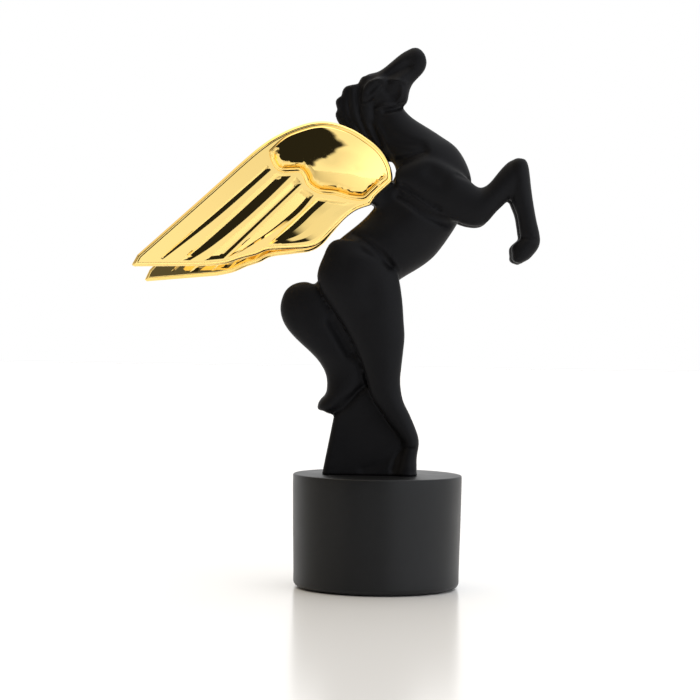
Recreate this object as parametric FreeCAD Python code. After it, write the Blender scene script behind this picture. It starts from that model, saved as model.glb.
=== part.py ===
import FreeCAD, Part
import math
import os

os.makedirs("parts", exist_ok=True)

V = FreeCAD.Vector
AXIS_Y = V(0, 1, 0)
AXIS_Z = V(0, 0, 1)

# Plinth, millimetres. Z = 0 is the underside of the felt, X = Y = 0 the plinth axis.
PLINTH_HEIGHT = 63.0
PLINTH_TOP_R = 47.0
PLINTH_BOTTOM_R = 46.1
PLINTH_EDGE_R = 3.0
PLINTH_WALL = 4.5
PLINTH_DECK = 5.0
SHELL_BOTTOM_Z = 0.6
LEDGE_Z = 3.9
COVER_R = 42.8
COVER_THICK = 2.6
COVER_BOTTOM_Z = 1.2
FELT_R = 42.0
POST_PITCH_R = 34.0
POST_R = 4.0
POST_ANGLES = (30, 150, 270)

# Fixings
BALLAST_R = 28.0
BALLAST_HEIGHT = 24.0
BOLT_R = 4.0
BOLT_ACROSS_FLATS = 13.0
BOLT_HEAD_HEIGHT = 5.3
BOLT_TOP_Z = 79.0
WASHER_THICK = 2.0
INSERT_R = 6.0
INSERT_LENGTH = 18.0
PIN_R = 2.0
PIN_BOTTOM_Z = 59.2
PIN_TOP_Z = 71.0
PIN_XS = (-18.0, 10.5)
HOLE_GAP = 0.1

# Figure
LEG_Y = 9.6
FORELEG_Y = 11.0
SEAT_Y = 7.45
CHEST_FRONT_X = 52.0
DOWEL_R = 2.0
DOWEL_SPOTS = ((25.3, 223.8), (40.3, 216.8))

# Wings
WING_THICK = 3.0
WING_EDGE = 0.7
WING_ROOT = V(0.3, 0, 219.8)
WING_ROOT_Y = 14.2
WING_SEATS = {-1: {"splay": 8.6, "droop": 0.0, "root": V(0.3, 0, 219.8)},
              1: {"splay": 7.4, "droop": 3.7, "root": V(-2.3, 0, 221.6)}}
PEG_R = 1.5
PEG_IN_WING = 1.8
PEG_IN_BODY = 8.0
PEG_SPOTS = ((0.8, 223.8), (-4.7, 218.3))
TROUGH_DEPTH = 0.9
COVERT_RIM_R = 0.8
COVERT_RIM_SINK = 0.1


def cylinder(radius, bottom, top, x=0.0, y=0.0):
    return Part.makeCylinder(radius, top - bottom, V(x, y, bottom), AXIS_Z)


def turned(points):
    """Solid of revolution about Z from (radius, z) corner points."""
    wire = Part.makePolygon([V(r, 0, z) for r, z in points + points[:1]])
    return Part.Face(wire).revolve(V(0, 0, 0), AXIS_Z, 360)


def polar(radius, degrees):
    angle = math.radians(degrees)
    return radius * math.cos(angle), radius * math.sin(angle)


def section(x1, z1, x2, z2, half_y, mid_y, points=14):
    """Closed oval whose long axis joins two points of the side outline."""
    centre = V((x1 + x2) / 2, mid_y, (z1 + z2) / 2)
    reach = V((x2 - x1) / 2, 0, (z2 - z1) / 2)
    ring = []
    for i in range(points):
        angle = 2 * math.pi * i / points
        ring.append(centre + reach * math.cos(angle) + V(0, half_y * math.sin(angle), 0))
    curve = Part.BSplineCurve()
    curve.interpolate(ring, PeriodicFlag=True)
    return Part.Wire(curve.toShape())


def limb(stations, mid_y=0.0):
    """Organic solid through stations (x1, z1, x2, z2, half_y)."""
    wires = [section(*station, mid_y) for station in stations]
    return Part.makeLoft(wires, True, False)


def mirrored(shape):
    return shape.mirror(V(0, 0, 0), AXIS_Y)


# ---------------------------------------------------------------- plinth

def plinth_shell():
    edge = PLINTH_EDGE_R
    outer = [(0, SHELL_BOTTOM_Z), (PLINTH_BOTTOM_R - edge, SHELL_BOTTOM_Z)]
    for step in range(1, 7):
        angle = math.radians(15 * step)
        outer.append((PLINTH_BOTTOM_R - edge + edge * math.sin(angle),
                      SHELL_BOTTOM_Z + edge - edge * math.cos(angle)))
    outer += [(PLINTH_TOP_R, PLINTH_HEIGHT - 0.4), (PLINTH_TOP_R - 0.4, PLINTH_HEIGHT), (0, PLINTH_HEIGHT)]
    shell = turned(outer)
    cavity = cylinder(PLINTH_BOTTOM_R - PLINTH_WALL, LEDGE_Z, PLINTH_HEIGHT - PLINTH_DECK)
    rabbet = cylinder(COVER_R + HOLE_GAP, 0, LEDGE_Z)
    shell = shell.cut(cavity.fuse(rabbet))
    for angle in POST_ANGLES:
        x, y = polar(POST_PITCH_R, angle)
        post = cylinder(POST_R, LEDGE_Z, PLINTH_HEIGHT - PLINTH_DECK + 1, x, y)
        pilot = cylinder(1.5 + HOLE_GAP, LEDGE_Z - 1, LEDGE_Z + 12, x, y)
        shell = shell.fuse(post).cut(pilot)
    shell = shell.cut(cylinder(BOLT_R + 2 * HOLE_GAP, 50, PLINTH_HEIGHT + 1))
    for x in PIN_XS:
        shell = shell.cut(cylinder(PIN_R + HOLE_GAP, PIN_BOTTOM_Z - HOLE_GAP, PLINTH_HEIGHT + 1, x))
    return shell.removeSplitter()


def ballast_weight():
    top = PLINTH_HEIGHT - PLINTH_DECK
    block = cylinder(BALLAST_R, top - BALLAST_HEIGHT, top - HOLE_GAP)
    block = block.makeChamfer(1.0, [e for e in block.Edges if isinstance(e.Curve, Part.Circle)])
    return block.cut(cylinder(BOLT_R + 3 * HOLE_GAP, 0, top))


def bottom_cover():
    cover = cylinder(COVER_R, COVER_BOTTOM_Z, COVER_BOTTOM_Z + COVER_THICK)
    for angle in POST_ANGLES:
        x, y = polar(POST_PITCH_R, angle)
        sink = Part.makeCone(3.1 + HOLE_GAP, 1.6 + HOLE_GAP, 1.6, V(x, y, COVER_BOTTOM_Z), AXIS_Z)
        cover = cover.cut(sink).cut(cylinder(1.6 + HOLE_GAP, 0, 10, x, y))
    return cover


def cover_screws():
    screws = []
    for angle in POST_ANGLES:
        x, y = polar(POST_PITCH_R, angle)
        head = Part.makeCone(3.0, 1.5, 1.5, V(x, y, COVER_BOTTOM_Z), AXIS_Z)
        screw = head.fuse(cylinder(1.5, COVER_BOTTOM_Z + 1, LEDGE_Z + 9, x, y))
        slot = Part.makeBox(6.4, 0.8, 0.7, V(x - 3.2, y - 0.4, COVER_BOTTOM_Z))
        screws.append(screw.cut(slot).removeSplitter())
    return Part.makeCompound(screws)


def base_felt():
    return cylinder(FELT_R, 0, COVER_BOTTOM_Z)


def figure_bolt():
    seat = PLINTH_HEIGHT - PLINTH_DECK - BALLAST_HEIGHT - 2 * WASHER_THICK - HOLE_GAP
    corner = BOLT_ACROSS_FLATS / math.sqrt(3)
    hexagon = [V(*polar(corner, 60 * i), seat - BOLT_HEAD_HEIGHT) for i in range(7)]
    head = Part.Face(Part.makePolygon(hexagon)).extrude(V(0, 0, BOLT_HEAD_HEIGHT))
    shank = cylinder(BOLT_R, seat - 1, BOLT_TOP_Z - 1)
    point = Part.makeCone(BOLT_R, BOLT_R - 1, 1, V(0, 0, BOLT_TOP_Z - 1), AXIS_Z)
    return head.fuse([shank, point]).removeSplitter()


def plain_washer():
    top = PLINTH_HEIGHT - PLINTH_DECK - BALLAST_HEIGHT
    return cylinder(12.0, top - WASHER_THICK, top).cut(cylinder(BOLT_R + 2 * HOLE_GAP, 0, top))


def spring_washer():
    top = PLINTH_HEIGHT - PLINTH_DECK - BALLAST_HEIGHT - WASHER_THICK
    ring = cylinder(7.4, top - WASHER_THICK, top).cut(cylinder(BOLT_R + 2 * HOLE_GAP, 0, top))
    split = Part.makeBox(5, 1.0, 6, V(3.5, -0.5, top - 4))
    return ring.cut(split)


def threaded_insert():
    bottom = PLINTH_HEIGHT
    bush = cylinder(INSERT_R, bottom, bottom + INSERT_LENGTH)
    groove = cylinder(INSERT_R + 1, bottom + 8, bottom + 10)
    groove = groove.cut(cylinder(INSERT_R - 0.8, bottom, bottom + INSERT_LENGTH))
    return bush.cut(groove).cut(cylinder(BOLT_R + HOLE_GAP, bottom, bottom + INSERT_LENGTH))


def locating_pins():
    return Part.makeCompound([cylinder(PIN_R, PIN_BOTTOM_Z, PIN_TOP_Z, x) for x in PIN_XS])


# ---------------------------------------------------------------- figure

def trunk():
    """Neck, chest, barrel and croup as one form."""
    return limb([
        (-5.7, 273.8, 9.3, 272.8, 5.8),
        (-6.7, 264.8, 12, 266, 6.6),
        (-6.7, 257.8, 17.8, 260.6, 7.8),
        (-4.7, 250.8, 28.8, 253.9, 9.4),
        (0.3, 243.8, 38.9, 247.3, 11.4),
        (6.2, 236.2, 45.9, 238.6, 13.4),
        (7.6, 229.8, 49.5, 229.3, 14.8),
        (1.3, 219.8, 48.9, 219.8, 15.6),
        (-3.7, 211.8, 45.8, 210.3, 16.4),
        (-10.7, 203.8, 41, 200.6, 16.8),
        (-19.7, 196.3, 34.2, 190.3, 16.6),
        (-27.7, 188.8, 25.3, 180.8, 15.8),
        (-32.7, 180.8, 15.9, 174.7, 14.8),
        (-34.7, 172.8, 8.2, 169.2, 13.4),
        (-31.7, 163.8, 7.3, 160.8, 11.0)])


def hind_leg():
    return limb([
        (-22.7, 193.3, -4.7, 190.8, 4.0),
        (-31.2, 184.8, 4.8, 181.8, 7.6),
        (-34.7, 174.8, 9.9, 173.3, 9.4),
        (-33.2, 165.8, 11.7, 164.3, 9.8),
        (-27.7, 156.8, 12.7, 156.3, 9.5),
        (-21.7, 147.8, 13.3, 148.3, 9.0),
        (-16.2, 138.8, 13.9, 139.8, 8.5),
        (-12.2, 130.8, 13.3, 131.8, 7.9),
        (-8.7, 122.3, 12.4, 122.8, 7.3),
        (-6.5, 114.8, 11.9, 115.8, 6.7),
        (-4.3, 107.8, 12.5, 109.3, 6.2),
        (-0.5, 101.3, 14.2, 102.9, 5.9),
        (3.7, 95.3, 17, 97.4, 5.6),
        (7.9, 89.3, 19.8, 91.2, 5.5),
        (11.6, 84.1, 22.1, 85.3, 5.5),
        (13.9, 79.8, 22.7, 80.4, 5.3),
        (13.3, 76.3, 22.1, 76.3, 5.1),
        (11.9, 71.8, 21.6, 71.8, 5.6),
        (10.6, 67.3, 21.7, 67.3, 6.4),
        (9.7, PLINTH_HEIGHT, 22.4, PLINTH_HEIGHT, 6.9)], -LEG_Y)


def tail():
    return limb([
        (-32.7, 172.8, -23.7, 165.8, 3.5),
        (-39.7, 169.3, -26.7, 161.8, 6.4),
        (-45.7, 169.1, -23.7, 156.8, 8.0),
        (-51.3, 166.1, -20.7, 152.3, 9.0),
        (-54.4, 160.8, -17.7, 147.3, 9.6),
        (-55.4, 153.7, -13.7, 141.8, 9.8),
        (-52.7, 145.4, -10.7, 135.8, 9.7),
        (-46.5, 137.9, -7.7, 129.8, 9.4),
        (-38.9, 131, -5.2, 122.8, 9.0),
        (-32.5, 124, -3.7, 116.3, 8.5),
        (-29.3, 117.2, -5.7, 110.3, 8.6),
        (-28.8, 111.8, -11.2, 106, 8.8),
        (-29.7, 107.3, -18.2, 101.8, 8.8),
        (-32.7, 103.8, -24.8, 96.3, 7.8),
        (-33.9, 100.6, -28.9, 96.9, 5.6),
        (-33.7, 99.1, -31.9, 97.6, 1.3)])


def rock_ring(x1, x2, z, half_y, corner=3.0):
    """Rounded rectangle in a level plane."""
    y = half_y
    p = [V(x1 + corner, -y, z), V(x2 - corner, -y, z), V(x2, corner - y, z), V(x2, y - corner, z),
         V(x2 - corner, y, z), V(x1 + corner, y, z), V(x1, y - corner, z), V(x1, corner - y, z)]
    cut = corner * (1 - math.sqrt(0.5))
    mid = [V(x2 - cut, cut - y, z), V(x2 - cut, y - cut, z), V(x1 + cut, y - cut, z), V(x1 + cut, cut - y, z)]
    edges = []
    for i in range(4):
        a, b, c = p[2 * i], p[2 * i + 1], p[(2 * i + 2) % 8]
        edges.append(Part.makeLine(a, b))
        edges.append(Part.Arc(b, mid[i], c).toShape())
    return Part.Wire(edges)


def support_rock():
    rings = [rock_ring(-30.7, 15.3, PLINTH_HEIGHT, 12.6), rock_ring(-27.3, 15.8, 81, 10.8),
             rock_ring(-24.3, 8.3, 97, 7.8), rock_ring(-22.0, -0.6, 111.5, 6.4)]
    return Part.makeLoft(rings, True, True)


def head():
    return limb([
        (-10.7, 280.8, -8.7, 270.8, 3.4),
        (-9.2, 285, -6.2, 266.3, 5.4),
        (-4.7, 286.4, -0.2, 265.3, 6.8),
        (-0.7, 288.3, 6.8, 266.6, 7.4),
        (3.3, 291.5, 12.9, 269.1, 7.1),
        (7.2, 294.9, 14.5, 275.1, 6.2),
        (11, 297.8, 16.5, 280.3, 5.4),
        (14.5, 299.7, 19.7, 284, 5.0),
        (18.1, 300.6, 22.3, 287, 4.7),
        (21.4, 298.8, 23.7, 290, 3.8),
        (23.1, 296.5, 24, 293.1, 2.0)])


def ear():
    return limb([
        (-2.7, 283.3, 1.8, 281.3, 1.2),
        (-5.7, 282.3, 0.9, 278.4, 2.2),
        (-9.2, 279.8, -2.7, 274.8, 2.3),
        (-11.3, 275.8, -5.7, 271.4, 1.8),
        (-11.9, 271.6, -8.9, 269.2, 1.1),
        (-11.5, 269, -10.5, 268.4, 0.4)], -6.4)


def mane():
    """Stepped locks that hang along the crest of the neck."""
    crest = limb([
        (-11.3, 284.2, -4.7, 285, 4.0),
        (-13.4, 281.2, -3.7, 280.8, 5.0),
        (-14.3, 272.8, -3.7, 272.8, 5.6),
        (-14.3, 263.8, -3.7, 262.8, 5.8),
        (-10.7, 253.8, -1.7, 251.8, 5.6),
        (-3.7, 244.8, 4.3, 242.8, 5.2),
        (8, 234.8, 11.5, 233.8, 3.0)])
    second = limb([
        (-20.2, 278.8, -11.7, 280.2, 3.2),
        (-22.6, 276, -10.7, 276.8, 4.4),
        (-22.3, 268.8, -10.7, 268.8, 5.0),
        (-20.7, 259.8, -9.7, 257.8, 5.2),
        (-14.7, 249.8, -4.7, 247.8, 5.0),
        (-3.7, 239.6, 4.6, 236.6, 3.4)])
    third = limb([
        (-25.1, 272.1, -20.7, 273.8, 2.2),
        (-26.3, 269.8, -17.7, 270.3, 3.6),
        (-25.5, 266.2, -15.7, 263.8, 4.2),
        (-22.7, 257.8, -13.7, 254.8, 4.4),
        (-15.7, 248.8, -7.7, 245.8, 3.8),
        (-7.7, 240.8, -2.7, 238.8, 2.2)])
    lowest = limb([
        (-25.5, 265.2, -19.7, 265.2, 2.0),
        (-26.3, 262.4, -16.7, 261.2, 3.2),
        (-24.3, 257.8, -13.7, 255.4, 3.6),
        (-18.7, 251.2, -9.7, 248.4, 3.0),
        (-11.7, 244.8, -6.7, 242.8, 1.6)])
    return [crest, second, third, lowest]


def foreleg_form():
    """Shoulder, forearm, knee, cannon and hoof of the leg on the -Y side."""
    upper = limb([
        (7.3, 230.3, 7.8, 223.8, 3.0),
        (13.3, 235.8, 12.7, 219.8, 5.4),
        (22.3, 239.4, 21.3, 214.1, 6.7),
        (31.3, 238.2, 30.7, 208.6, 7.3),
        (40.2, 232.9, 40.4, 204, 7.4),
        (47.8, 227.1, 49.2, 201.4, 7.1),
        (53.2, 222.9, 56.6, 202.2, 6.8),
        (58.3, 224.2, 62.5, 208.3, 6.5),
        (62.9, 229.4, 67.5, 213.4, 6.3),
        (67.3, 234.7, 71.3, 216.8, 6.2),
        (71.5, 237.9, 74.5, 218.3, 6.0),
        (76.7, 238.1, 76.6, 220.8, 5.2),
        (79.8, 233.8, 78.6, 224.8, 3.0)], -FORELEG_Y)
    lower = limb([
        (74.7, 239.2, 78.5, 238.6, 2.6),
        (71.4, 237.4, 80.1, 236.6, 5.0),
        (69.2, 231.6, 81.4, 231.1, 6.0),
        (70.1, 223.4, 82.3, 223.9, 6.0),
        (71.9, 214.9, 83.5, 215.9, 5.7),
        (74.3, 209, 84.7, 209.3, 5.3),
        (75.8, 202, 86.2, 202.5, 5.0),
        (76.7, 196.4, 87.4, 197.5, 5.0),
        (76.7, 194.9, 87.8, 193.9, 5.2),
        (74.5, 192.9, 86.9, 190, 5.6),
        (71.9, 189.4, 84.2, 186.1, 5.8),
        (72.2, 184.9, 80.5, 182.7, 5.4),
        (74, 181.8, 77.2, 180.6, 3.4)], -FORELEG_Y)
    return upper.fuse(lower)


def foreleg_piece():
    inside_chest = Part.makeBox(CHEST_FRONT_X, 30, 80, V(0, -SEAT_Y, 180))
    return foreleg_form().cut(inside_chest)


def dowel(spot, radius, inner, outer):
    """Cross dowel on the -Y side between two distances from the middle plane."""
    x, z = spot
    return Part.makeCylinder(radius, outer - inner, V(x, -inner, z), V(0, -1, 0))


def foreleg_dowels():
    near = [dowel(spot, DOWEL_R, 2.5, 13.5) for spot in DOWEL_SPOTS]
    return Part.makeCompound(near + [mirrored(pin) for pin in near])


def dowel_holes():
    holes = [dowel(spot, DOWEL_R + HOLE_GAP, 2.5 - HOLE_GAP, 13.5 + HOLE_GAP) for spot in DOWEL_SPOTS]
    return Part.makeCompound(holes)


def right_foreleg():
    return foreleg_piece().cut(dowel_holes())


def wing_saddle():
    """Boss at the withers that carries both wing roots."""
    boss = Part.makeCylinder(8.0, 36, V(-0.2, -18, 219.3), AXIS_Y)
    for side in (-1, 1):
        room = Part.makeBox(60, 20, 60, V(-30, -20 - WING_THICK / 2, 190))
        room = room.fuse(Part.makeBox(60, WING_THICK + 0.1, 60, V(-30, -WING_THICK / 2, 190)))
        boss = boss.cut(seat_wing(room, side))
    return boss


def horse_body():
    near = [hind_leg(), ear()]
    parts = near + [mirrored(shape) for shape in near]
    parts += [tail(), support_rock(), head(), wing_saddle()] + mane()
    body = trunk()
    for shape in parts:
        body = body.fuse(shape)
    piece = foreleg_piece()
    body = body.cut(piece).cut(mirrored(piece))
    body = body.cut(dowel_holes()).cut(mirrored(dowel_holes()))
    for side in (-1, 1):
        body = body.cut(seat_wing(peg_set(PEG_R + HOLE_GAP, HOLE_GAP), side))
    bottom = PLINTH_HEIGHT
    body = body.cut(cylinder(INSERT_R + HOLE_GAP, bottom - 1, bottom + INSERT_LENGTH + HOLE_GAP))
    for x in PIN_XS:
        body = body.cut(cylinder(PIN_R + HOLE_GAP, bottom - 1, PIN_TOP_Z + HOLE_GAP, x))
    return body


# ---------------------------------------------------------------- wings

def curve(points, y=0.0):
    spline = Part.BSplineCurve()
    spline.interpolate([V(x, y, z) for x, z in points])
    return spline.toShape()


def line(points, y=0.0):
    return Part.makePolygon([V(x, y, z) for x, z in points])


def wing_outline(y):
    tip = line([(-136.2, 176.9), (-133.2, 182.4)], y)
    leading = curve([(-133.2, 182.4), (-98.7, 214), (-74.8, 236.2), (-64, 245.1), (-55.9, 250.1),
                     (-47.8, 253.9), (-37.8, 256.8), (-28.7, 256.9), (-17.1, 253.6), (-7.6, 248.1),
                     (-0.5, 242), (4, 235), (5.8, 229.2), (6, 225.2)], y)
    root = curve([(6, 225.2), (1.4, 220.9), (-3.2, 216.4), (-6.1, 211.8)], y)
    trailing = curve([(-6.1, 211.8), (-13.2, 209.2), (-18.9, 205.2), (-26, 198.1), (-32.7, 191.3),
                      (-39.7, 187.9), (-49.7, 187), (-62.2, 186), (-68.7, 183.4), (-76.7, 181.2),
                      (-84.7, 178.4), (-93.7, 177)], y)
    lower = line([(-93.7, 177), (-135, 175.9), (-136.2, 176.9)], y)
    return Part.Wire(tip.Edges + [leading, root, trailing] + lower.Edges)


def wedge(top_left, top_right, low_left, low_right):
    """Sawtooth groove cutter: deep along its left edge, running out at its right edge."""
    face_y = -WING_THICK / 2
    rings = []
    for left, right in ((top_left, top_right), (low_left, low_right)):
        deep_x = left[0] + 0.12 * (right[0] - left[0])
        deep_z = left[1] + 0.12 * (right[1] - left[1])
        ring = [V(left[0], face_y - 0.2, left[1]), V(left[0], face_y, left[1]),
                V(deep_x, face_y + TROUGH_DEPTH, deep_z), V(right[0], face_y, right[1]),
                V(right[0], face_y - 0.2, right[1])]
        rings.append(Part.makePolygon(ring + ring[:1]))
    return Part.makeLoft(rings, True, True)


def grooves():
    """Five feather grooves of the outer face, from the leading edge inwards."""
    return [
        wedge((-63.7, 231.8), (-60.7, 229.2), (-121.7, 179.8), (-120.3, 179)),
        wedge((-58.7, 227.8), (-50.1, 226.4), (-109.7, 179.4), (-103.7, 179.4)),
        wedge((-47.1, 226.2), (-43.9, 222.6), (-96.7, 179.2), (-86.7, 180.4)),
        wedge((-44.1, 220.8), (-37.1, 216.4), (-84.1, 181.4), (-73.7, 185.4)),
        wedge((-35.3, 215.4), (-21.7, 211.4), (-62.7, 188.6), (-43.7, 189.4))]


COVERT_EDGE = [(-62.7, 240.3), (-61.7, 235.7), (-58.9, 230.6), (-54.7, 228.7), (-49.7, 228.8), (-45.7, 228.8),
               (-43.6, 226.2), (-41.3, 221.6), (-35.2, 217.8), (-25.8, 216.8), (-17.5, 214.9), (-9.7, 214.9),
               (-4.4, 219), (0, 222.8)]


def covert_dome():
    ball = Part.makeSphere(1.0)
    matrix = FreeCAD.Matrix()
    matrix.scale(39.0, 7.6, 22.0)
    dome = ball.transformGeometry(matrix)
    dome.rotate(V(0, 0, 0), AXIS_Y, 8)
    dome.translate(V(-29.7, 4.0 - WING_THICK / 2, 234.8))
    face_y = -WING_THICK / 2
    edge = curve(COVERT_EDGE, face_y)
    top = [(3.3, 228.8), (1.3, 234.8), (-7.7, 245.8), (-28.7, 254.3), (-47.7, 251.3)]
    rest = line([COVERT_EDGE[-1]] + top + [COVERT_EDGE[0]], face_y)
    region = Part.Face(Part.Wire([edge] + rest.Edges)).extrude(V(0, -10, 0))
    return dome.common(region)


def covert_rim():
    path = curve(COVERT_EDGE, COVERT_RIM_SINK - WING_THICK / 2)
    start = path.valueAt(path.FirstParameter)
    ring = Part.Wire(Part.makeCircle(COVERT_RIM_R, start, path.tangentAt(path.FirstParameter)))
    return Part.Wire(path).makePipeShell([ring], True, True)


def wing_blank():
    """Flat wing of the -Y side with its relief and peg holes, in its own plane at Y = 0."""
    half = WING_THICK / 2
    plate = Part.Face(wing_outline(-half)).extrude(V(0, WING_THICK, 0))
    rims = [e for e in plate.Edges if abs(e.BoundBox.YLength) < 1e-6]
    plate = plate.makeFillet(WING_EDGE, rims)
    cutters = grooves()
    inner_cutters = [mirrored(cutter) for cutter in cutters]
    for cutter in cutters + inner_cutters:
        plate = plate.cut(cutter)
    plate = plate.cut(peg_set(PEG_R + HOLE_GAP, HOLE_GAP))
    return plate.fuse(covert_dome()).fuse(covert_rim())


def seat_wing(shape, side):
    """Carry a shape from the flat wing plane to its seat on the figure; side -1 is the -Y side."""
    seat = WING_SEATS[side]
    placed = shape.copy()
    placed.translate(seat["root"] - WING_ROOT - V(0, WING_ROOT_Y, 0))
    placed.rotate(seat["root"] - V(0, WING_ROOT_Y, 0), AXIS_Z, seat["splay"])
    if side > 0:
        placed = mirrored(placed)
    placed.rotate(seat["root"], AXIS_Y, -seat["droop"])
    return placed


def peg_set(radius, gap=0.0):
    start = WING_THICK / 2 - PEG_IN_WING - gap
    length = PEG_IN_WING + PEG_IN_BODY + 2 * gap
    pegs = [Part.makeCylinder(radius, length, V(x, start, z), AXIS_Y) for x, z in PEG_SPOTS]
    return Part.makeCompound(pegs)


def wing_dowels():
    pegs = peg_set(PEG_R)
    return Part.makeCompound(seat_wing(pegs, -1).Solids + seat_wing(pegs, 1).Solids)


# ---------------------------------------------------------------- export

def main():
    plinth_shell().exportStep("parts/plinth_shell.step")
    ballast_weight().exportStep("parts/ballast_weight.step")
    bottom_cover().exportStep("parts/bottom_cover.step")
    cover_screws().exportStep("parts/cover_screws.step")
    base_felt().exportStep("parts/base_felt.step")
    figure_bolt().exportStep("parts/figure_bolt.step")
    plain_washer().exportStep("parts/plain_washer.step")
    spring_washer().exportStep("parts/spring_washer.step")
    threaded_insert().exportStep("parts/threaded_insert.step")
    locating_pins().exportStep("parts/locating_pins.step")
    horse_body().exportStep("parts/horse_body.step")
    right_foreleg().exportStep("parts/right_foreleg.step")
    mirrored(right_foreleg()).exportStep("parts/left_foreleg.step")
    foreleg_dowels().exportStep("parts/foreleg_dowels.step")
    blank = wing_blank()
    seat_wing(blank, -1).exportStep("parts/right_wing.step")
    seat_wing(blank, 1).exportStep("parts/left_wing.step")
    wing_dowels().exportStep("parts/wing_dowels.step")


main()
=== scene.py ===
import math

import bmesh
import bpy
import numpy as np
from mathutils import Matrix, Vector, geometry
from mathutils.bvhtree import BVHTree


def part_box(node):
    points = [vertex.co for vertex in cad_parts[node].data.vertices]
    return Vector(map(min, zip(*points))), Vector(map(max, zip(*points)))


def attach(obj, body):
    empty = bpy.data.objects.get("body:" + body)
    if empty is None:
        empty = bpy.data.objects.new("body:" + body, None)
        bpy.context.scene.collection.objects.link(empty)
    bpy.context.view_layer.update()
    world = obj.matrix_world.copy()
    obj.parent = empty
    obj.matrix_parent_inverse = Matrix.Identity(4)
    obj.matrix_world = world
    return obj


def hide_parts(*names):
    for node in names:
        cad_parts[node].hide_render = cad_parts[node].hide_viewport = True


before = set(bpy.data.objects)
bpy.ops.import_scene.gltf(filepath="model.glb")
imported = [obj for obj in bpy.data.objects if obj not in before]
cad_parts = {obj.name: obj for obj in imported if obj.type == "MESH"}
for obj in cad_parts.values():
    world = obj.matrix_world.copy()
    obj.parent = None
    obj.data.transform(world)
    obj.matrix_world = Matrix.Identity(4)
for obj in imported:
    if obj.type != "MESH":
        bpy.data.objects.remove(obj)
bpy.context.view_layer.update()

MM = 0.001

# Wing seats, in millimetres and degrees: each side's splay, droop and root.
WING_ROOT = Vector((0.3, 0.0, 219.8))
WING_ROOT_Y = Vector((0.0, 14.2, 0.0))
WING_SEATS = {-1: (8.6, 0.0, WING_ROOT), 1: (7.4, 3.7, Vector((-2.3, 0.0, 221.6)))}
HALF_THICK = 1.5

# Plinth, in millimetres; its radius, height and cover come from the CAD boxes.
TOP_ROUND = 0.9
FOOT_ROUND = 3
FOOT_TAPER = 0.9
COVER_GAP = 0.1
COVER_DEPTH = 3.3
COVER_LEDGE = 1.3
LID = 5
PLINTH_SEGMENTS = 224

# Figure skin, in millimetres.
SKIN_VOXEL = 0.87
JOINT_BLEND = 3.2

# Camera: metres, degrees, a 36 mm sensor, and the tangents by which its axis turns left and down.
CAMERA_PLACE = (0, -1.207, 0.147)
CAMERA_LENS = 111.4457
CAMERA_ROLL = 0.83
TURN_LEFT = 0.01366
TURN_DOWN = 0.012275
FLOOR_HALF = 6.0

# Studio light, against a white background of 1.
ROOM = 1.08
FRONT_SPOT = 0.9
WARM_SIDE = 0.5
WARM_TINT = (1.0, 0.86, 0.66, 1)
CEILING = 1.9
LOW_BANK = 1.75
FRONT_BLACK = 0.02
SIDE_GREY = 0.1

# Dark screens: left and right edge as (azimuth at eye level, its change for each degree up), then the lowest
# and highest elevation. FRONT_CUT bounds the front screen, so that its upper right corner is cut off.
FRONT_SCREEN = ((-1.5, -1.3), (8.5, 0.75), -6.0, 48.0)
FRONT_CUT = ((-90.0, 0.0), (28.0, -0.4), -20.0, 60.0)
SIDE_SCREEN = ((-46.0, 0.0), (-16.5, 0.0), -8.0, 34.0)


# ---------------------------------------------------------------- small helpers

def new_object(name, mesh, material):
    obj = bpy.data.objects.new(name, mesh)
    bpy.context.scene.collection.objects.link(obj)
    mesh.materials.clear()
    mesh.materials.append(material)
    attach(obj, "root")
    return obj


def spline(points, step):
    """Smooth line through 2-D points, sampled every step millimetres."""
    out = []
    ends = [points[0]] + list(points) + [points[-1]]
    for i in range(1, len(ends) - 2):
        a, b, c, d = (Vector(p) for p in ends[i - 1:i + 3])
        count = max(1, round((c - b).length / step))
        for k in range(count):
            t = k / count
            out.append(0.5 * ((2 * b) + (c - a) * t + (2 * a - 5 * b + 4 * c - d) * t * t
                              + (3 * b - a - 3 * c + d) * t ** 3))
    out.append(Vector(points[-1]))
    return out


def straight(points, step):
    out = []
    for a, b in zip(points[:-1], points[1:]):
        a, b = Vector(a), Vector(b)
        count = max(1, round((b - a).length / step))
        out += [a.lerp(b, k / count) for k in range(count)]
    out.append(Vector(points[-1]))
    return out


def distances(points, line):
    """Distance of every point to a polyline."""
    p = np.array([(q.x, q.y) for q in points])
    start = np.array([(q.x, q.y) for q in line[:-1]])
    run = np.array([(q.x, q.y) for q in line[1:]]) - start
    length = np.maximum((run ** 2).sum(1), 1e-12)
    gap = p[:, None] - start
    share = np.clip((gap * run).sum(2) / length, 0, 1)
    return np.sqrt(((gap - run * share[..., None]) ** 2).sum(2)).min(1)


def face_outwards(mesh):
    tool = bmesh.new()
    tool.from_mesh(mesh)
    bmesh.ops.recalc_face_normals(tool, faces=tool.faces)
    tool.to_mesh(mesh)
    tool.free()


def smooth_mesh(mesh, degrees):
    for face in mesh.polygons:
        face.use_smooth = True
    mesh.set_sharp_from_angle(angle=math.radians(degrees))


# ---------------------------------------------------------------- materials

def node_material(name):
    material = bpy.data.materials.new(name)
    material.use_nodes = True
    nodes = material.node_tree.nodes
    return material, nodes, material.node_tree.links, nodes["Principled BSDF"]


def noise(nodes, links, scale, detail=3.0):
    coords = nodes.new("ShaderNodeTexCoord")
    texture = nodes.new("ShaderNodeTexNoise")
    texture.inputs["Scale"].default_value = scale
    texture.inputs["Detail"].default_value = detail
    links.new(coords.outputs["Object"], texture.inputs["Vector"])
    return texture


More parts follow.
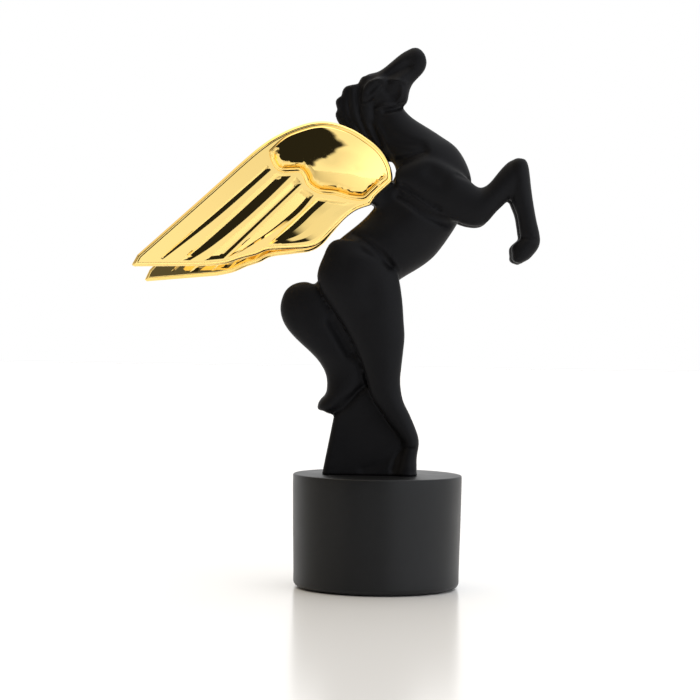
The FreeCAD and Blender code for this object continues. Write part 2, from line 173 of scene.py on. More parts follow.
def ranged(nodes, links, value, low, high):
    span = nodes.new("ShaderNodeMapRange")
    span.inputs["From Min"].default_value = 0.3
    span.inputs["From Max"].default_value = 0.7
    span.inputs["To Min"].default_value = low
    span.inputs["To Max"].default_value = high
    links.new(value, span.inputs["Value"])
    return span.outputs["Result"]


def coloured(nodes, links, value, low, high):
    ramp = nodes.new("ShaderNodeValToRGB")
    ramp.color_ramp.elements[0].position = 0.3
    ramp.color_ramp.elements[0].color = (*low, 1)
    ramp.color_ramp.elements[1].position = 0.7
    ramp.color_ramp.elements[1].color = (*high, 1)
    links.new(value, ramp.inputs["Fac"])
    return ramp.outputs["Color"]


def bumped(nodes, links, shader, height, strength, distance):
    bump = nodes.new("ShaderNodeBump")
    bump.inputs["Strength"].default_value = strength
    bump.inputs["Distance"].default_value = distance
    links.new(height, bump.inputs["Height"])
    links.new(bump.outputs["Normal"], shader.inputs["Normal"])


def noisy_material(name, dark, light, rough, grain, strength, distance, metallic=0.0, patch=60.0, gloss=0.5,
                   sheen=(1.0, 1.0, 1.0)):
    """Colour and roughness drift over large patches; bump follows a fine grain."""
    material, nodes, links, shader = node_material(name)
    shader.inputs["Metallic"].default_value = metallic
    shader.inputs["Specular IOR Level"].default_value = gloss
    shader.inputs["Specular Tint"].default_value = (*sheen, 1)
    broad = noise(nodes, links, patch)
    fine = noise(nodes, links, grain, 2.0)
    links.new(coloured(nodes, links, broad.outputs["Fac"], dark, light), shader.inputs["Base Color"])
    links.new(ranged(nodes, links, broad.outputs["Fac"], rough[0], rough[1]), shader.inputs["Roughness"])
    bumped(nodes, links, shader, fine.outputs["Fac"], strength, distance)
    return material


def make_materials():
    return {
        "figure": noisy_material("satin_black_lacquer", (0.0044, 0.0043, 0.0049), (0.0060, 0.0059, 0.0066),
                                 (0.46, 0.54), 900, 0.10, 0.00006, gloss=0.13, sheen=(0.86, 0.9, 1.0)),
        "plinth": noisy_material("moulded_black_plinth", (0.0045, 0.0045, 0.0048), (0.0065, 0.0065, 0.0068),
                                 (0.38, 0.44), 1400, 0.05, 0.00004, gloss=0.29, sheen=(0.9, 0.94, 1.0)),
        "gold": noisy_material("mirror_gold_plate", (1.0, 0.73, 0.255), (1.0, 0.745, 0.27),
                               (0.02, 0.035), 90, 0.02, 0.0002, 1.0, 40.0),
        "felt": noisy_material("black_felt", (0.012, 0.012, 0.013), (0.03, 0.03, 0.032),
                               (0.9, 1.0), 2600, 0.6, 0.0003),
        "cover": noisy_material("matte_cover", (0.02, 0.02, 0.021), (0.028, 0.028, 0.03),
                                (0.5, 0.6), 1200, 0.15, 0.0001),
        "steel": noisy_material("zinc_plated_steel", (0.5, 0.51, 0.53), (0.62, 0.62, 0.64),
                                (0.26, 0.4), 1500, 0.08, 0.00005, 1.0, 300.0),
        "iron": noisy_material("cast_iron", (0.05, 0.05, 0.055), (0.1, 0.098, 0.1),
                               (0.6, 0.75), 700, 0.5, 0.0003, 0.8),
        "brass": noisy_material("turned_brass", (0.72, 0.5, 0.2), (0.8, 0.58, 0.26),
                                (0.22, 0.32), 1800, 0.08, 0.00005, 1.0, 200.0)}


# ---------------------------------------------------------------- wings

def wing_outline(step):
    """Closed outline of the wing plate in its own plane, (x, z) in millimetres, from the tip over the top."""
    tip = straight([(-136.2, 176.9), (-133.2, 182.4)], step)
    leading = spline([(-133.2, 182.4), (-98.7, 214), (-74.8, 236.2), (-64, 245.1), (-55.9, 250.1),
                      (-47.8, 253.9), (-37.8, 256.8), (-28.7, 256.9), (-17.1, 253.6), (-7.6, 248.1),
                      (-0.5, 242), (4, 235), (5.8, 229.2), (6, 225.2)], step)
    root = spline([(6, 225.2), (1.4, 220.9), (-3.2, 216.4), (-6.1, 211.8)], step)
    trailing = spline([(-6.1, 211.8), (-13.2, 209.2), (-18.9, 205.2), (-26, 198.1), (-32.7, 191.3),
                       (-39.7, 187.9), (-49.7, 187), (-62.2, 186), (-68.7, 183.4), (-76.7, 181.2),
                       (-84.7, 178.4), (-93.7, 177)], step)
    lower = straight([(-93.7, 177), (-135, 175.9), (-136.2, 176.9)], step)
    return tip[:-1] + leading[:-1] + root[:-1] + trailing[:-1] + lower[:-1]


def inset(loop, depth):
    """Loop moved inwards by depth; points that another stretch of the loop comes nearer to are dropped."""
    if depth == 0:
        return list(loop)
    moved = []
    for i, p in enumerate(loop):
        tangent = (loop[(i + 1) % len(loop)] - loop[i - 1]).normalized()
        moved.append(p + Vector((tangent.y, -tangent.x)) * depth)
    gaps = distances(moved, loop + loop[:1])
    return [p for p, gap in zip(moved, gaps) if gap > depth - 0.02]


class Relief:
    """Feature lines with heights, triangulated into one surface."""

    def __init__(self):
        self.points, self.heights, self.edges, self.crisp = [], [], [], []

    def add(self, line, height, closed=False, crisp=False):
        start = len(self.points)
        self.points += [Vector((p.x, p.y)) for p in line]
        self.heights += height if isinstance(height, list) else [height] * len(line)
        count = len(line)
        edges = [(start + i, start + i + 1) for i in range(count - 1)]
        if closed:
            edges.append((start + count - 1, start))
        self.edges += edges
        if crisp:
            self.crisp += edges

    def add_loose(self, points, heights):
        self.points += points
        self.heights += heights

    def build(self):
        """Vertices, triangles, heights, and where each input point went."""
        found = geometry.delaunay_2d_cdt(self.points, self.edges, [], 1, 1e-4)
        points, faces, origins = found[0], found[2], found[3]
        heights, place = [], {}
        for k, (p, origin) in enumerate(zip(points, origins)):
            if origin:
                heights.append(self.heights[origin[0]])
                place.update((i, k) for i in origin)
            else:
                near = min(range(len(self.points)), key=lambda i: (self.points[i] - p).length_squared)
                heights.append(self.heights[near])
        return points, faces, heights, place


# Edge of the plate: (distance in from the outline, height over the middle of the plate).
RIM = [(0.0, 0.35), (0.15, 0.72), (0.45, 1.05), (0.85, 1.4), (1.15, 1.6), (1.35, 1.62), (1.6, 1.42),
       (1.85, 1.4), (2.3, 1.5)]

# Each feather groove: upper-left edge, lower-right edge, then its section as (place across, depth).
GROOVES = [
    ([(-63.3, 232.4), (-91.7, 206.8), (-121.2, 180.1)],
     [(-60.9, 230.2), (-90.3, 203.4), (-119.9, 179.7)],
     [(0.2, 0.5), (0.3, 0.55)]),
    ([(-58.7, 228.2), (-76.7, 211.2), (-109.7, 179.7)],
     [(-50.3, 226.8), (-62.3, 214.6), (-77.3, 200.6), (-92.7, 187.8), (-104.7, 179.8)],
     [(0.24, 1.0), (0.32, 1.04)]),
    ([(-47.3, 226.4), (-71.7, 202.8), (-97.1, 179.8)],
     [(-44.3, 222.8), (-63.7, 203.8), (-86.7, 181)],
     [(0.12, 0.45), (0.55, 0.72), (0.72, 0.7)]),
    ([(-43.9, 220.6), (-63.7, 201.3), (-84.3, 181.8)],
     [(-37.5, 216.8), (-45.7, 206.8), (-58.7, 196.4), (-69.7, 189.6), (-76.7, 185.2)],
     [(0.1, 0.5), (0.7, 0.85), (0.82, 0.8)]),
    ([(-35.7, 215.6), (-47.7, 203.8), (-62.3, 189.2)],
     [(-13.7, 212.3), (-23.7, 205), (-30.9, 197.6), (-36.7, 193), (-43.2, 190.8), (-57.7, 189.4)],
     [(0.05, 0.8), (0.11, 0.95), (0.3, 0.35), (0.55, 0.2), (0.8, 0.12)])]
GROOVE_SAMPLES = 80

# Covert: its raised lower border, its plain upper border, and the raised border's section as
# (distance in, height over the plate).
COVERT = [(-62.7, 240.3), (-61.7, 235.7), (-58.9, 230.6), (-54.7, 228.7), (-49.7, 228.8), (-45.7, 228.8),
          (-43.6, 226.2), (-41.3, 221.6), (-35.2, 217.8), (-25.8, 216.8), (-17.5, 214.7), (-9.7, 214.6),
          (-4.9, 218.6), (0.7, 224.2)]
COVERT_TOP = [(0.7, 224.2), (3.2, 226.4), (3.5, 228.8), (1.8, 234.3), (-2.4, 240.6), (-9.1, 246), (-18, 251.2),
              (-28.9, 254.3), (-37.4, 254.3), (-46.9, 251.5), (-54.8, 247.7), (-62.7, 240.3)]
COVERT_RIM = [(0.0, 0.0), (0.3, 0.45), (0.6, 0.62), (0.9, 0.6), (1.15, 0.34), (1.4, 0.3), (1.65, 0.5),
              (1.95, 0.6), (2.25, 0.45), (2.5, -0.1), (2.8, 0.12)]
RIM_WIDTH = 2.8

# Pillow of the covert, in millimetres and radians, and the pitch of the loose points that carry it.
DOME_CENTRE = (-27, 234)
DOME_TILT = 0.14
DOME_HALVES = (36, 21)
GRID_PITCH = 1.15

# Outer and inner face of a wing: side, rise of the covert, share of the grooves' depth.
WING_FACES = ((-1, 4.3, 1.0), (1, 1.4, 0.8))


def resampled(line, count):
    """The same line as count evenly spaced points."""
    lengths = [0.0]
    for a, b in zip(line[:-1], line[1:]):
        lengths.append(lengths[-1] + (b - a).length)
    out = []
    k = 0
    for i in range(count):
        target = lengths[-1] * i / (count - 1)
        while k < len(line) - 2 and lengths[k + 1] < target:
            k += 1
        share = (target - lengths[k]) / max(lengths[k + 1] - lengths[k], 1e-9)
        out.append(line[k].lerp(line[k + 1], share))
    return out


def add_groove(relief, left, right, section, scale):
    """Lines along the groove, tied across by ribs so that its slopes stay even."""
    count = GROOVE_SAMPLES
    left = resampled(spline(left, 0.5), count)
    right = resampled(spline(right, 0.5), count)
    first = len(relief.points)
    relief.add(left + right[::-1], HALF_THICK, closed=True, crisp=True)
    rows = [[first + i for i in range(2, count - 2)]]
    for place, depth in section:
        line, heights = [], []
        for i in range(2, count - 2):
            end = min(i - 1, count - 2 - i) / 3.0
            width = (right[i] - left[i]).length
            line.append(left[i].lerp(right[i], place))
            heights.append(HALF_THICK - scale * depth * min(1.0, 0.35 + 0.5 * end) * min(1.0, width / 1.6))
        rows.append([len(relief.points) + i for i in range(len(line))])
        relief.add(line, heights, crisp=True)
    rows.append([first + 2 * count - 1 - i for i in range(2, count - 2)])
    for near, far in zip(rows[:-1], rows[1:]):
        relief.edges += list(zip(near, far))


def dome_height(p, gap, rise, share):
    """Pillow of the covert: a broad cap, rolled off over 2.4 mm at the lower border and 1.2 mm at the upper."""
    across, up = p.x - DOME_CENTRE[0], p.y - DOME_CENTRE[1]
    x = across * math.cos(DOME_TILT) - up * math.sin(DOME_TILT)
    z = across * math.sin(DOME_TILT) + up * math.cos(DOME_TILT)
    cap = 1 - 0.62 * (x / DOME_HALVES[0]) ** 2 - 0.55 * (z / DOME_HALVES[1]) ** 2
    roll = 1 - (1 - min(max(gap, 0.0) / (1.2 + 1.2 * share), 1.0)) ** 2
    return rise * cap * roll


def rim_share(points):
    """1 beside the raised lower border of the covert, 0 beside its plain upper border."""
    low = distances(points, spline(COVERT, 0.8))
    high = distances(points, spline(COVERT_TOP, 0.8))
    return np.clip(0.5 + (high - low) / 5.0, 0, 1)


def add_covert(relief, rise):
    edge = (spline(COVERT, 0.8)[:-1] + spline(COVERT_TOP, 0.8)[:-1])[::-1]
    for depth, height in COVERT_RIM:
        loop = inset(edge, depth)
        rim = HALF_THICK + height * min(1.0, 0.3 + rise / 4)
        relief.add(loop, [rim * share + (HALF_THICK + dome_height(p, depth, rise, share)) * (1 - share)
                          for p, share in zip(loop, rim_share(loop))], closed=True, crisp=depth == 0)
    grid = [Vector((-68 + GRID_PITCH * (column + 0.5 * (row % 2)), 208 + GRID_PITCH * 0.866 * row))
            for row in range(60) for column in range(80)]
    inside = [p for p in grid if point_in(p, edge)]
    gaps = distances(inside, edge + edge[:1])
    kept = [(p, g, share) for p, g, share in zip(inside, gaps, rim_share(inside)) if g > RIM_WIDTH + 0.4]
    relief.add_loose([p for p, g, share in kept],
                     [HALF_THICK + 0.12 * share + dome_height(p, g - RIM_WIDTH * share, rise, share)
                      for p, g, share in kept])


def point_in(p, loop):
    inside = False
    for a, b in zip(loop, loop[1:] + loop[:1]):
        if (a.y > p.y) != (b.y > p.y) and p.x < a.x + (p.y - a.y) * (b.x - a.x) / (b.y - a.y):
            inside = not inside
    return inside


def wing_mesh(name):
    """Both faces of a wing in its own plane, and the pairs of vertices whose edges stay crisp."""
    outline = wing_outline(0.8)
    rims = [(inset(outline, depth), height) for depth, height in RIM]
    verts, faces, bands, crisp = [], [], [], []
    for side, rise, scale in WING_FACES:
        relief = Relief()
        for loop, height in rims:
            relief.add(loop, height, closed=True, crisp=loop is rims[-1][0])
        for left, right, section in GROOVES:
            add_groove(relief, left, right, section, scale)
        add_covert(relief, rise)
        points, tris, heights, place = relief.build()
        start = len(verts)
        verts += [Vector((p.x, side * h, p.y)) for p, h in zip(points, heights)]
        faces += [[start + i for i in (tri if side < 0 else tri[::-1])] for tri in tris]
        bands.append([start + place[i] for i in range(len(outline))])
        crisp += [(start + place[a], start + place[b]) for a, b in relief.crisp]
    front, back = bands
    count = len(outline)
    faces += [[front[i], back[i], back[(i + 1) % count], front[(i + 1) % count]] for i in range(count)]
    mesh = bpy.data.meshes.new(name)
    mesh.from_pydata(verts, [], faces)
    return mesh, crisp


def wing_place(side):
    """From the flat wing plane, in millimetres, to its seat on the figure, in metres."""
    splay, droop, root = WING_SEATS[side]
    pivot = root - WING_ROOT_Y
    swing = Matrix.Rotation(math.radians(splay), 4, "Z")
    place = Matrix.Translation(pivot) @ swing @ Matrix.Translation(-WING_ROOT)
    if side > 0:
        place = Matrix.Scale(-1, 4, (0, 1, 0)) @ place
    dip = Matrix.Rotation(math.radians(-droop), 4, "Y")
    turn = Matrix.Translation(root) @ dip @ Matrix.Translation(-root)
    return Matrix.Scale(MM, 4) @ turn @ place


def make_wing(name, node, side, material):
    mesh, crisp = wing_mesh(name)
    mesh.transform(wing_place(side))
    face_outwards(mesh)
    smooth_mesh(mesh, 24)
    edges = {tuple(sorted(edge.vertices)): edge for edge in mesh.edges}
    for pair in crisp:
        if tuple(sorted(pair)) in edges:
            edges[tuple(sorted(pair))].use_edge_sharp = True
    wing = new_object(name, mesh, material)
    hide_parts(node)


# ---------------------------------------------------------------- plinth

def plinth_profile(radius, bottom, top, rabbet):
    """Section from the top's edge down the outside, round the foot and up the inside, (r, z) in millimetres."""
    rim = radius - TOP_ROUND
    foot = radius - FOOT_TAPER
    heel = foot - FOOT_ROUND
    profile = [(rim, top)]
    profile += [(rim + TOP_ROUND * math.sin(a), top - TOP_ROUND + TOP_ROUND * math.cos(a))
                for a in (0.3, 0.6, 0.9, 1.25, math.pi / 2)]
    profile += [(radius - 0.02, top - 8), (radius - 0.4, (top + bottom) / 2), (foot, bottom + 9)]
    profile += [(heel + FOOT_ROUND * math.cos(a), bottom + FOOT_ROUND - FOOT_ROUND * math.sin(a))
                for a in (0.0, 0.25, 0.5, 0.75, 1.0, 1.3, math.pi / 2)]
    inner = rabbet - COVER_LEDGE
    step = bottom + COVER_DEPTH
    profile += [(rabbet, bottom), (rabbet, step), (inner, step), (inner, top - LID)]
    return profile


def make_plinth(material):
    low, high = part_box("plinth_shell")
    cover_low, cover_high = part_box("bottom_cover")
    top = high.z / MM
    rabbet = (cover_high.x - cover_low.x) / 2 / MM + COVER_GAP
    profile = plinth_profile((high.x - low.x) / 2 / MM, low.z / MM, top, rabbet)
    count = len(profile)
    verts, faces = [], []
    for i in range(PLINTH_SEGMENTS):
        angle = 2 * math.pi * i / PLINTH_SEGMENTS
        verts += [Vector((r * math.cos(angle), r * math.sin(angle), z)) * MM for r, z in profile]
    for i in range(PLINTH_SEGMENTS):
        a, b = i * count, ((i + 1) % PLINTH_SEGMENTS) * count
        faces += [[a + k, a + k + 1, b + k + 1, b + k] for k in range(count - 1)]
    for z, k in ((top, 0), (top - LID, count - 1)):
        middle = len(verts)
        verts.append(Vector((0, 0, z)) * MM)
        faces += [[middle, i * count + k, ((i + 1) % PLINTH_SEGMENTS) * count + k]
                  for i in range(PLINTH_SEGMENTS)]
    mesh = bpy.data.meshes.new("plinth")
    mesh.from_pydata(verts, [], faces)
    face_outwards(mesh)
    smooth_mesh(mesh, 35)
    plinth = new_object("plinth", mesh, material)
    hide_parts("plinth_shell")


# ---------------------------------------------------------------- figure

# Hand-finished lines on both flanks: (x, z) points, half width, depth (a ridge is negative).
FLANK_LINES = [
    ([(3, 283.8), (8, 286.8), (13.5, 290)], 2.8, 2.2),
    ([(-2.3, 281.6), (3, 282.3), (8, 281.4), (12.3, 280.6)], 0.9, -0.9),
    ([(1.5, 277), (4.5, 274), (7, 275)], 3.2, 1.8),
    ([(10.2, 277.5), (9.5, 271.5), (5.5, 268.2), (0.3, 267.5), (-4, 265.5)], 0.9, -0.9),
    ([(1, 264.4), (6, 265.6), (12, 267.9)], 1.4, 2.0),
    ([(-7.5, 274.5), (-4.5, 277.5), (-1.5, 280)], 1.1, 1.3),
    ([(-11.2, 270.8), (-10.5, 277), (-7, 280.5), (-2.5, 282)], 0.8, -0.4),
    ([(-19.5, 275.5), (-18.9, 268), (-16.5, 259.5), (-10, 249.5)], 1.0, 0.9),
    ([(-14.9, 276.5), (-14.2, 269), (-12.5, 262), (-8, 252)], 0.8, 0.7),
    ([(-22.7, 270), (-21.5, 264), (-18, 258)], 0.8, 0.6),
    ([(-3.7, 257.8), (0.3, 250.8), (3.3, 243.8), (6.3, 239.8), (8.3, 237.3)], 1.2, -0.6),
    ([(-7, 257.5), (-3, 250), (0.3, 243), (4, 238)], 1.8, 1.1),
    ([(0.3, 258.3), (6.9, 249), (21.6, 245)], 3.0, 1.0),
    ([(8.8, 237.3), (14.3, 238.8), (23.3, 241.8)], 1.7, 1.7),
    ([(27, 230), (33, 226)], 5.0, 1.3),
    ([(8.3, 222.8), (12.3, 219.8), (16.3, 217.8), (25.6, 211.8), (34.9, 207.1), (42, 204.4)], 1.0, -0.7),
    ([(12, 223), (18, 219), (24, 215), (32, 210.4)], 1.3, 1.1),
    ([(9.5, 217.5), (16, 213.5), (22, 209), (30, 205), (36, 202.5)], 2.4, 2.2),
    ([(41.3, 229.3), (50.3, 225.8)], 1.2, 0.8),
    ([(-14.7, 195.8), (-9.5, 193.2), (-4, 189.2), (2, 183.8), (5.6, 178.8)], 2.2, 2.2),
    ([(6.2, 183.8), (10.4, 177.2), (10.8, 172.3)], 0.8, -0.6),
    ([(-6, 166), (-4, 158)], 6.0, 0.7),
    ([(-28, 155), (-20, 143), (-14, 132), (-9.8, 121.5), (-7.3, 111)], 0.8, -0.5),
    ([(-26.5, 147), (-21.5, 138.5), (-16.5, 130)], 3.0, 1.9),
    ([(-25, 96.6), (-20, 99.6), (-15.5, 104), (-11.5, 109), (-9, 111)], 1.7, 1.9),
    ([(13, 78.8), (18, 77.9), (22.5, 78.3)], 0.8, 0.7),
    ([(12.4, 76.5), (9.5, 72), (8, 66)], 1.1, 1.2),
    ([(-8, 66), (2, 70), (9, 76), (12.5, 79)], 2.4, 0.6),
    ([(78.3, 195.3), (88.3, 193.3)], 0.9, 0.7)]


def joined_skin(names, voxel):
    """One even skin over copies of several CAD nodes, without the sealed hollows inside."""
    tool = bmesh.new()
    for name in names:
        tool.from_mesh(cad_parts[name].data)
    mesh = bpy.data.meshes.new("skin")
    tool.to_mesh(mesh)
    tool.free()
    copy = bpy.data.objects.new("skin", mesh)
    bpy.context.scene.collection.objects.link(copy)
    remesh = copy.modifiers.new("skin", "REMESH")
    remesh.mode = "VOXEL"
    remesh.voxel_size = voxel * MM
    bpy.context.view_layer.update()
    graph = bpy.context.evaluated_depsgraph_get()
    skin = bpy.data.meshes.new_from_object(copy.evaluated_get(graph))
    bpy.data.objects.remove(copy)
    outer_shell_only(skin)
    return skin


def outer_shell_only(mesh):
    """Keeps what hangs together with the highest vertex."""
    tool = bmesh.new()
    tool.from_mesh(mesh)
    tool.verts.ensure_lookup_table()
    start = max(tool.verts, key=lambda v: v.co.z)
    seen = {start}
    queue = [start]
    while queue:
        vert = queue.pop()
        for edge in vert.link_edges:
            other = edge.other_vert(vert)
            if other not in seen:
                seen.add(other)
                queue.append(other)
    bmesh.ops.delete(tool, geom=[v for v in tool.verts if v not in seen], context="VERTS")
    tool.to_mesh(mesh)
    tool.free()


def near_joint(points, names):
    """1 at the shoulders' joint lines between the CAD nodes, falling to 0 some millimetres away."""
    total = np.zeros(len(points))
    region = np.flatnonzero((points[:, 0] > 11) & (points[:, 2] > 190) & (points[:, 2] < 250))
    for name in names:
        tree = BVHTree.FromPolygons([v.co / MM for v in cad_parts[name].data.vertices],
                                    [p.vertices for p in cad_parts[name].data.polygons])
        gaps = np.array([min(tree.find_nearest(Vector(points[i]))[3], 30.0) for i in region])
        total[region] += gaps ** 2
    weight = np.zeros(len(points))
    weight[region] = np.exp(-total[region] / (2 * JOINT_BLEND ** 2))
    return weight


def positions(mesh):
    flat = np.zeros(len(mesh.vertices) * 3)
    mesh.vertices.foreach_get("co", flat)
    return flat.reshape(-1, 3) / MM


def normals(mesh):
    flat = np.zeros(len(mesh.vertices) * 3, np.float32)
    mesh.vertices.foreach_get("normal", flat)
    return flat.reshape(-1, 3).astype(float)


def set_positions(mesh, points):
    mesh.vertices.foreach_set("co", (points * MM).astype(np.float32).ravel())
    mesh.update()


def relaxed(mesh, points, rounds, weight, hold, push_back=0.96):
    """Laplacian smoothing with a push back against shrinking; hold is 1 where nothing moves."""
    flat = np.zeros(len(mesh.edges) * 2, np.int64)
    mesh.edges.foreach_get("vertices", flat)
    a, b = flat.reshape(-1, 2).T
    degree = np.bincount(np.concatenate([a, b]), minlength=len(points))[:, None]
    free = (1.0 - hold)[:, None]
    for step in range(rounds * 2):
        total = np.zeros_like(points)
        for axis in range(3):
            total[:, axis] = (np.bincount(a, points[b, axis], len(points))
                              + np.bincount(b, points[a, axis], len(points)))
        push = weight if step % 2 == 0 else -weight * push_back
        points = points + (total / degree - points) * push * free
    return points


def below_seat(points):
    """1 on the flank next to the wing's seat, outside the wing's root edge, falling to 0 around it."""
    x = points[:, 0] - WING_ROOT.x
    z = points[:, 2] - WING_ROOT.z
    past_root = np.clip((0.73 * x - 0.68 * z - 1.0) / 1.5, 0, 1)
    radius = np.hypot(x - 5, z + 6)
    return past_root * np.clip((12 - radius) / 3, 0, 1) * (abs(points[:, 1]) > 6)


def flank_finish(points, facing):
    """Grooves and ridges pressed sideways into the flanks, where they face outwards."""
    flat = [Vector((p[0], p[2])) for p in points]
    outward = np.where(points[:, 1] < 0, -1.0, 1.0)
    share = np.clip((facing[:, 1] * outward - 0.15) / 0.4, 0, 1)
    shift = np.zeros(len(points))
    for line, width, depth in FLANK_LINES:
        low_x = min(p[0] for p in line) - 3 * width
        high_x = max(p[0] for p in line) + 3 * width
        low_z = min(p[1] for p in line) - 3 * width
        high_z = max(p[1] for p in line) + 3 * width
        near = np.flatnonzero((points[:, 0] > low_x) & (points[:, 0] < high_x) & (points[:, 2] > low_z)
                              & (points[:, 2] < high_z) & (share > 0))
        gaps = distances([flat[i] for i in near], spline(line, 1.0))
        shift[near] += depth * np.exp(-(gaps / width) ** 2)
    points[:, 1] -= outward * share * shift
    return points


def make_figure(material):
    """One lacquered skin over the three castings: joints blended, hooves and wing seats eased."""
    body, right, left = names = ["horse_body", "right_foreleg", "left_foreleg"]
    mesh = joined_skin(names, SKIN_VOXEL)
    points = positions(mesh)
    plinth_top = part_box("plinth_shell")[1].z / MM
    foot = np.clip(1 - (points[:, 2] - plinth_top) / 1.5, 0, 1)
    points = relaxed(mesh, points, 3, 0.6, foot)
    joint = near_joint(points, [body, right]) + near_joint(points, [body, left])
    points = relaxed(mesh, points, 45, 0.6, 1 - np.clip(joint, 0, 1), 0.75)
    hoof = np.exp(-((points[:, 0] - 75) ** 2 + (points[:, 2] - 181) ** 2) / 20)
    points = relaxed(mesh, points, 5, 0.6, 1 - hoof, 0.0)
    points = relaxed(mesh, points, 160, 0.8, 1 - below_seat(points), 0.0)
    set_positions(mesh, points)
    points = flank_finish(points, normals(mesh))
    points = relaxed(mesh, points, 1, 0.6, foot)
    set_positions(mesh, points)
    for face in mesh.polygons:
        face.use_smooth = True
    figure = new_object("figure", mesh, material)
    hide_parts(*names)


# ---------------------------------------------------------------- stage

def make_floor():
    material, _, _, shader = node_material("pale_floor")
    shader.inputs["Base Color"].default_value = (0.96, 0.96, 0.96, 1)
    shader.inputs["Roughness"].default_value = 0.2
    mesh = bpy.data.meshes.new("floor")
    corners = [(x * FLOOR_HALF, y * FLOOR_HALF, 0) for x, y in ((-1, -1), (1, -1), (1, 1), (-1, 1))]
    mesh.from_pydata(corners, [], [(0, 1, 2, 3)])
    mesh.materials.append(material)
    floor = bpy.data.objects.new("floor", mesh)
    bpy.context.scene.collection.objects.link(floor)


def make_camera():
    data = bpy.data.cameras.new("camera")
    data.lens = CAMERA_LENS
    data.sensor_width = 36.0
    data.clip_start = 0.05
    camera = bpy.data.objects.new("camera", data)
    bpy.context.scene.collection.objects.link(camera)
    roll = math.radians(CAMERA_ROLL)
    right = Vector((math.cos(roll), 0, math.sin(roll)))
    up = Vector((-math.sin(roll), 0, math.cos(roll)))
    forward = (Vector((0, 1, 0)) - right * TURN_LEFT - up * TURN_DOWN).normalized()
    right = forward.cross(up).normalized()
    up = right.cross(forward)
    turn = Matrix((right, up, -forward)).transposed()
    camera.matrix_world = Matrix.Translation(CAMERA_PLACE) @ turn.to_4x4()
    bpy.context.scene.camera = camera


def heading(azimuth, elevation):
    """Direction from the object, in degrees: azimuth 0 is towards -Y and turns to +X."""
    a = math.radians(azimuth)
    e = math.radians(elevation)
    return (math.sin(a) * math.cos(e), -math.cos(a) * math.cos(e), math.sin(e))


def spot(nodes, links, direction, inner, outer):
    """1 within inner degrees of a direction, 0 beyond outer degrees."""
    coords = nodes.new("ShaderNodeTexCoord")
    dot = nodes.new("ShaderNodeVectorMath")
    dot.operation = "DOT_PRODUCT"
    dot.inputs[1].default_value = direction
    links.new(coords.outputs["Generated"], dot.inputs[0])
    span = nodes.new("ShaderNodeMapRange")
    span.interpolation_type = "SMOOTHSTEP"
    span.inputs["From Min"].default_value = math.cos(math.radians(outer))
    span.inputs["From Max"].default_value = math.cos(math.radians(inner))
    links.new(dot.outputs["Value"], span.inputs["Value"])
    return span.outputs["Result"]


def mathed(nodes, links, operation, *values):
    """One maths node over sockets and plain numbers."""
    node = nodes.new("ShaderNodeMath")
    node.operation = operation
    for value, socket in zip(values, node.inputs):
        if isinstance(value, (int, float)):
            socket.default_value = value
        else:
            links.new(value, socket)
    return node.outputs["Value"]


def look_angles(nodes, links):
    """Azimuth and elevation of the ray in degrees, as in heading, and a ragged value between 0 and 6."""
    coords = nodes.new("ShaderNodeTexCoord")
    parts = nodes.new("ShaderNodeSeparateXYZ")
    links.new(coords.outputs["Generated"], parts.inputs["Vector"])
    texture = nodes.new("ShaderNodeTexNoise")
    texture.inputs["Scale"].default_value = 9.0
    texture.inputs["Detail"].default_value = 4.0
    links.new(coords.outputs["Generated"], texture.inputs["Vector"])
    forward = mathed(nodes, links, "MULTIPLY", parts.outputs["Y"], -1.0)
    azimuth = mathed(nodes, links, "DEGREES", mathed(nodes, links, "ARCTAN2", parts.outputs["X"], forward))
    elevation = mathed(nodes, links, "DEGREES", mathed(nodes, links, "ARCSINE", parts.outputs["Z"]))
    return azimuth, elevation, mathed(nodes, links, "MULTIPLY", texture.outputs["Fac"], 6.0)


def panel(nodes, links, angles, left, right, low, high):
    """1 inside a panel; left and right are (azimuth at eye level, change of azimuth for each degree up)."""
    azimuth, elevation, ragged = angles
    left_edge = mathed(nodes, links, "MULTIPLY_ADD", elevation, left[1], left[0])
    right_edge = mathed(nodes, links, "MULTIPLY_ADD", elevation, right[1], right[0])
    sides = mathed(nodes, links, "MINIMUM", mathed(nodes, links, "SUBTRACT", azimuth, left_edge),
                   mathed(nodes, links, "SUBTRACT", right_edge, azimuth))
    ends = mathed(nodes, links, "MINIMUM", mathed(nodes, links, "SUBTRACT", elevation, low),
                  mathed(nodes, links, "SUBTRACT", high, elevation))
    inside = mathed(nodes, links, "MINIMUM", sides, ends)
    span = nodes.new("ShaderNodeMapRange")
    span.interpolation_type = "SMOOTHSTEP"
    span.inputs["From Min"].default_value = 2.4
    span.inputs["From Max"].default_value = 4.6
    links.new(mathed(nodes, links, "ADD", inside, ragged), span.inputs["Value"])
    return span.outputs["Result"]


def mixed(nodes, links, share, first, second):
    """first where share is 0, second where it is 1."""
    mix = nodes.new("ShaderNodeMix")
    mix.data_type = "FLOAT"
    links.new(share, mix.inputs["Factor"])
    for value, socket in ((first, mix.inputs[2]), (second, mix.inputs[3])):
        if isinstance(value, float):
            socket.default_value = value
        else:
            links.new(value, socket)
    return mix.outputs[0]


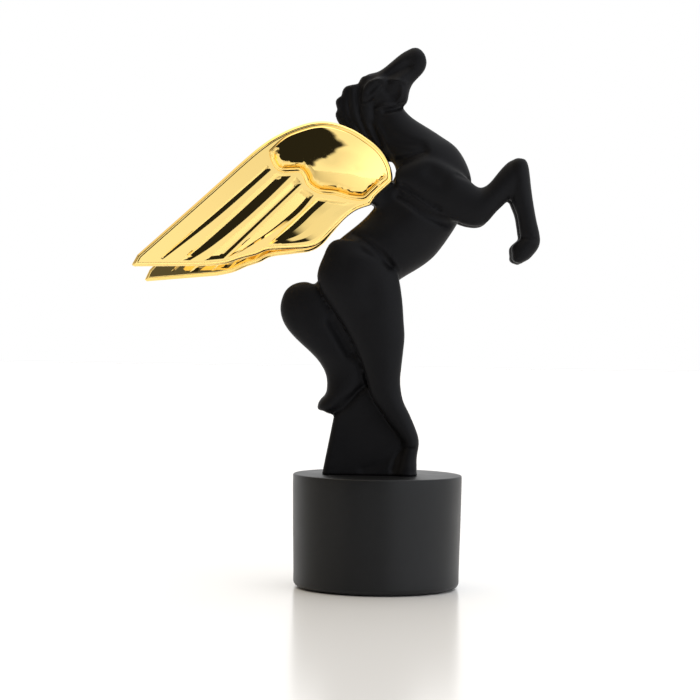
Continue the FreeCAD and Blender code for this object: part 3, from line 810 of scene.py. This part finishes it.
def make_world():
    """White studio: two dark screens in front, a bright bank low on the right, a dim warm side on the left.

    The camera sees plain white behind the object; only the light on it comes from the studio.
    """
    world = bpy.data.worlds.new("studio")
    bpy.context.scene.world = world
    world.use_nodes = True
    nodes = world.node_tree.nodes
    links = world.node_tree.links
    nodes.clear()
    room = mixed(nodes, links, spot(nodes, links, heading(18, 7), 2, 9), ROOM, FRONT_SPOT)
    warm_side = spot(nodes, links, heading(-75, 38), 28, 60)
    dimmed = mixed(nodes, links, warm_side, room, WARM_SIDE)
    ceiling = mixed(nodes, links, spot(nodes, links, heading(0, 90), 15, 50), dimmed, CEILING)
    bank = mixed(nodes, links, spot(nodes, links, heading(60, -10), 28, 49), ceiling, LOW_BANK)
    angles = look_angles(nodes, links)
    front = mathed(nodes, links, "MINIMUM", panel(nodes, links, angles, *FRONT_SCREEN),
                   panel(nodes, links, angles, *FRONT_CUT))
    side = mixed(nodes, links, panel(nodes, links, angles, *SIDE_SCREEN), bank, SIDE_GREY)
    screen = mixed(nodes, links, front, side, FRONT_BLACK)
    light = nodes.new("ShaderNodeBackground")
    links.new(screen, light.inputs["Strength"])
    white = nodes.new("ShaderNodeBackground")
    white.inputs["Color"].default_value = (1, 1, 1, 1)
    tint = nodes.new("ShaderNodeMix")
    tint.data_type = "RGBA"
    tint.inputs[6].default_value = (1, 1, 1, 1)
    tint.inputs[7].default_value = WARM_TINT
    links.new(warm_side, tint.inputs["Factor"])
    links.new(tint.outputs[2], light.inputs["Color"])
    path = nodes.new("ShaderNodeLightPath")
    both = nodes.new("ShaderNodeMixShader")
    links.new(path.outputs["Is Camera Ray"], both.inputs["Fac"])
    links.new(light.outputs["Background"], both.inputs[1])
    links.new(white.outputs["Background"], both.inputs[2])
    output = nodes.new("ShaderNodeOutputWorld")
    links.new(both.outputs["Shader"], output.inputs["Surface"])


def main():
    bpy.context.scene.view_settings.view_transform = "Standard"
    materials = make_materials()
    make_camera()
    make_world()
    make_floor()
    make_plinth(materials["plinth"])
    make_figure(materials["figure"])
    make_wing("wing_right", "right_wing", -1, materials["gold"])
    make_wing("wing_left", "left_wing", 1, materials["gold"])
    for node, key in (("ballast_weight", "iron"), ("bottom_cover", "cover"), ("cover_screws", "steel"),
                      ("base_felt", "felt"), ("figure_bolt", "steel"), ("plain_washer", "steel"),
                      ("spring_washer", "steel"), ("threaded_insert", "brass"), ("locating_pins", "steel"),
                      ("foreleg_dowels", "steel"), ("wing_dowels", "steel")):
        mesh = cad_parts[node].data
        mesh.materials.clear()
        mesh.materials.append(materials[key])


main()
